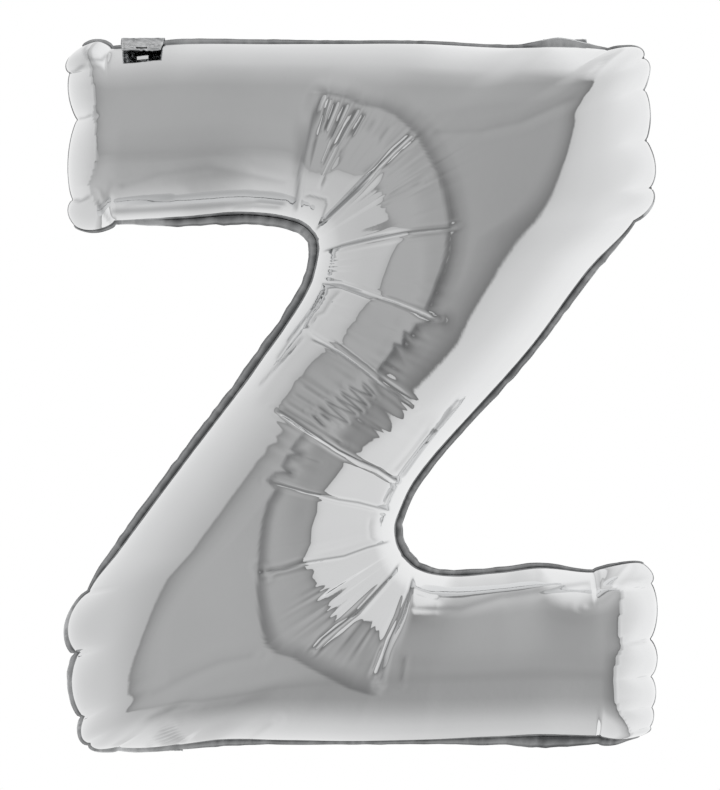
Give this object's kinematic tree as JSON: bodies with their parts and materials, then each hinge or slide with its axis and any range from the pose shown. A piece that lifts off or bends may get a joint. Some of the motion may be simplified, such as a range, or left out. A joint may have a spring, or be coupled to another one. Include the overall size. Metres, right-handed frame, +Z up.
{
  "type": "letter foil balloon",
  "caption": "Inflated silver foil letter Z balloon: two foil sheets welded round the letter's outline, with a fill neck folded up behind and two hanging tabs.",
  "frame": {"origin": "middle of the inflated letter, on the plane of the weld between the two sheets", "axes": "+X to the reader's right along the letter's bars, +Z up the letter, the front that is read faces -Y"},
  "size_m": [0.7196, 0.2, 0.863],
  "materials": {
    "foil": "mirror-bright silver metallised film, slightly puckered",
    "weld_foil": "silver metallised film, two layers welded flat, finely crinkled"
  },
  "bodies": {
    "root": {"front_sheet": "foil", "back_sheet": "foil", "weld_band": "weld_foil", "fill_neck": "weld_foil", "hang_tab_left": "weld_foil", "hang_tab_right": "weld_foil"}
  },
  "joints": []
}
